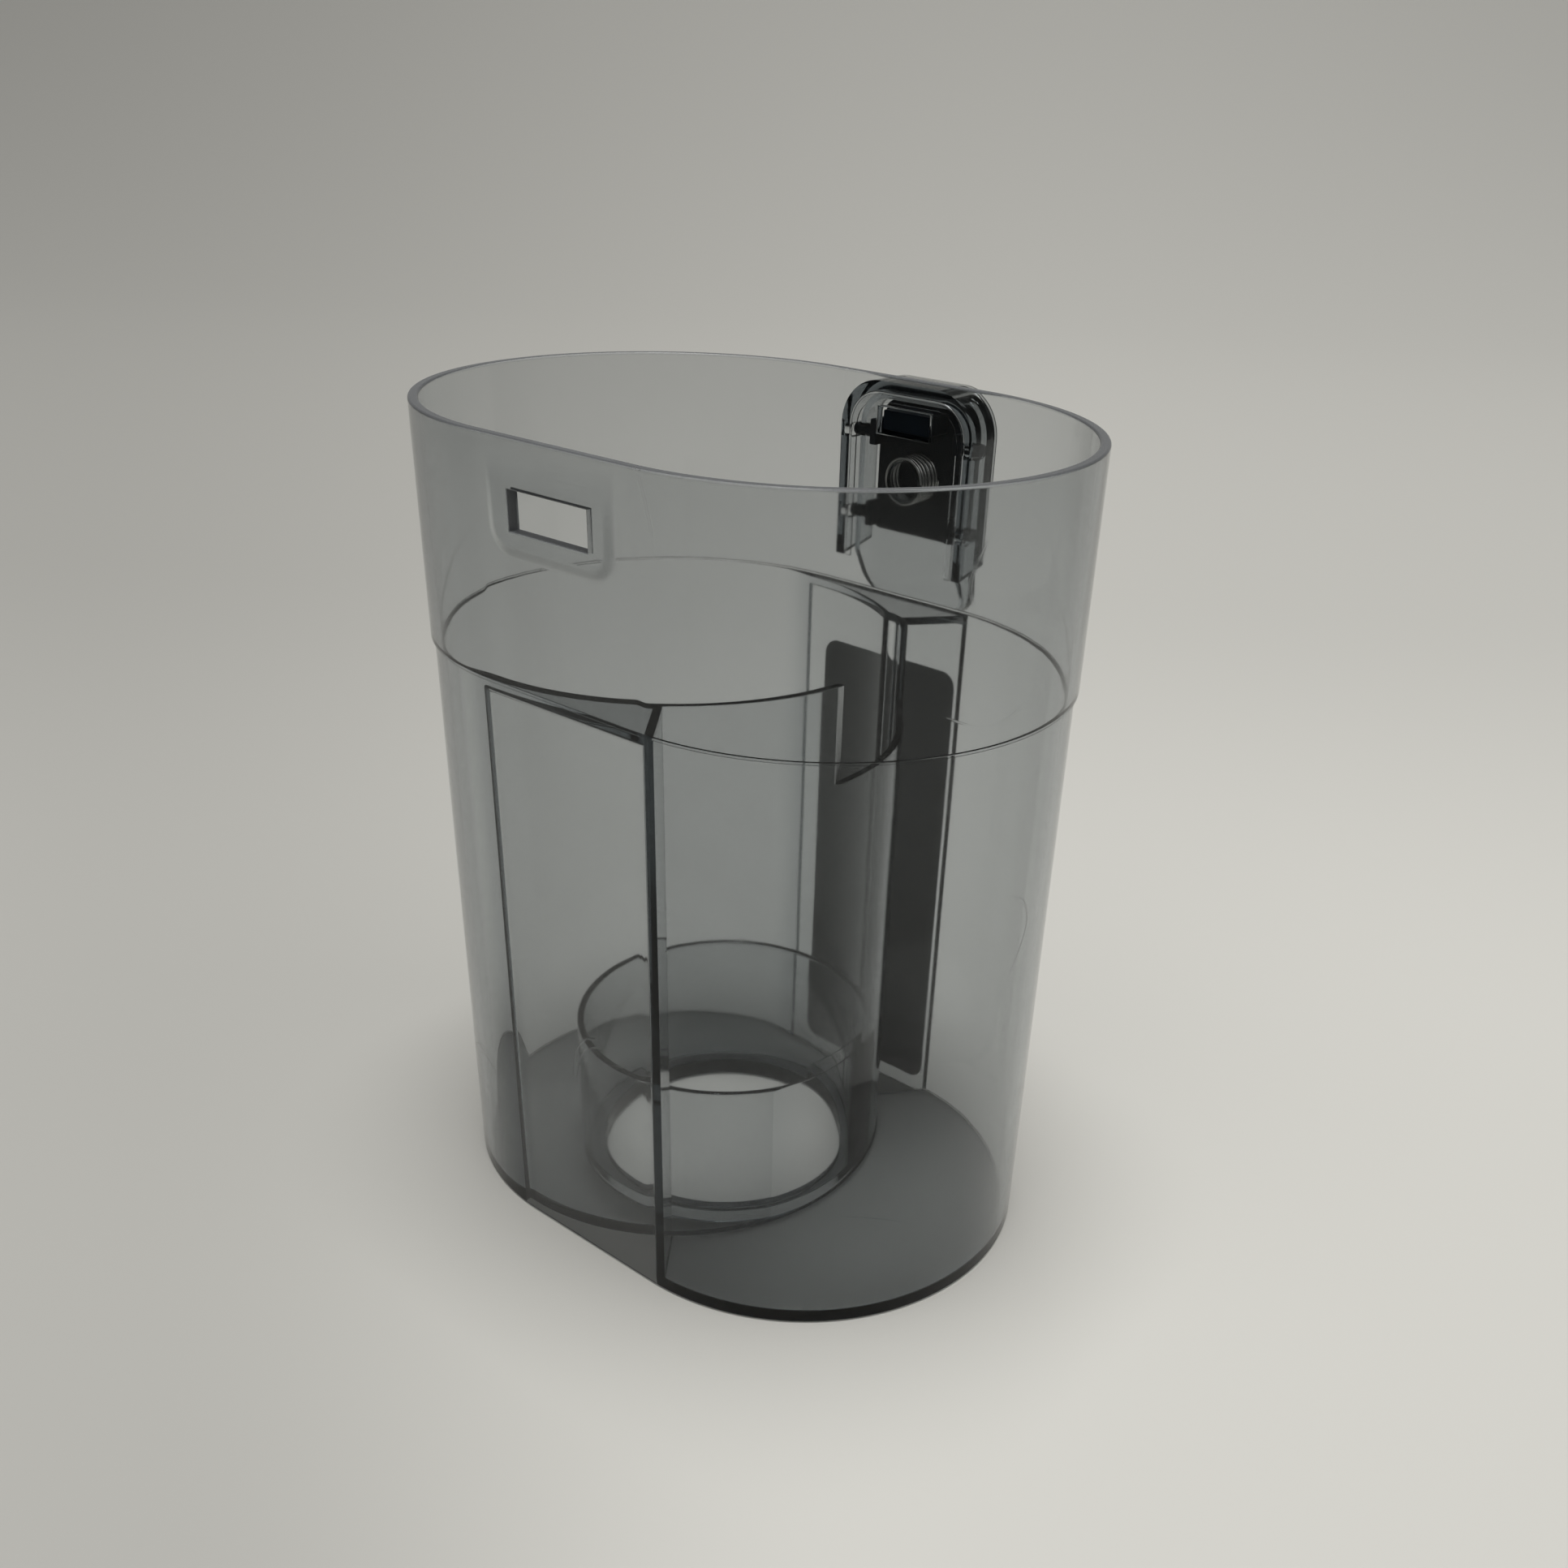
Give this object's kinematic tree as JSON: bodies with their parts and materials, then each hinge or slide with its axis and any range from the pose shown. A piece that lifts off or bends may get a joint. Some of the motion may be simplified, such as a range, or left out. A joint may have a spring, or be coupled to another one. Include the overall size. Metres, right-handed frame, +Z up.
{
  "type": "cyclone dust bin",
  "caption": "Clear oval dust bin with a round cyclone chamber, a side dust chamber, a collared floor port and a sprung push button that frees the lid",
  "frame": {"origin": "centre of the round port in the floor, in the plane of the base", "axes": "X along the oval towards the dust chamber, +Y out of the back wall that carries the button, Z up"},
  "size_m": [0.1559, 0.1289, 0.1926],
  "materials": {
    "smoke_clear": "clear smoke",
    "black_plastic": "satin",
    "spring_steel": "drawn wire",
    "grey_film": "satin film"
  },
  "bodies": {
    "bin": {"bin_shell": "smoke_clear", "return_spring": "spring_steel", "back_label": "grey_film"},
    "button": {"release_button": "smoke_clear", "button_core": "black_plastic"}
  },
  "joints": [
    {"name": "button_press", "type": "slide", "parent": "bin", "child": "button", "axis": [0, -1, 0], "range_m": [0, 0.003], "stiffness_N_per_m": 800, "springref_m": -0.002, "deforming": ["return_spring"]}
  ]
}
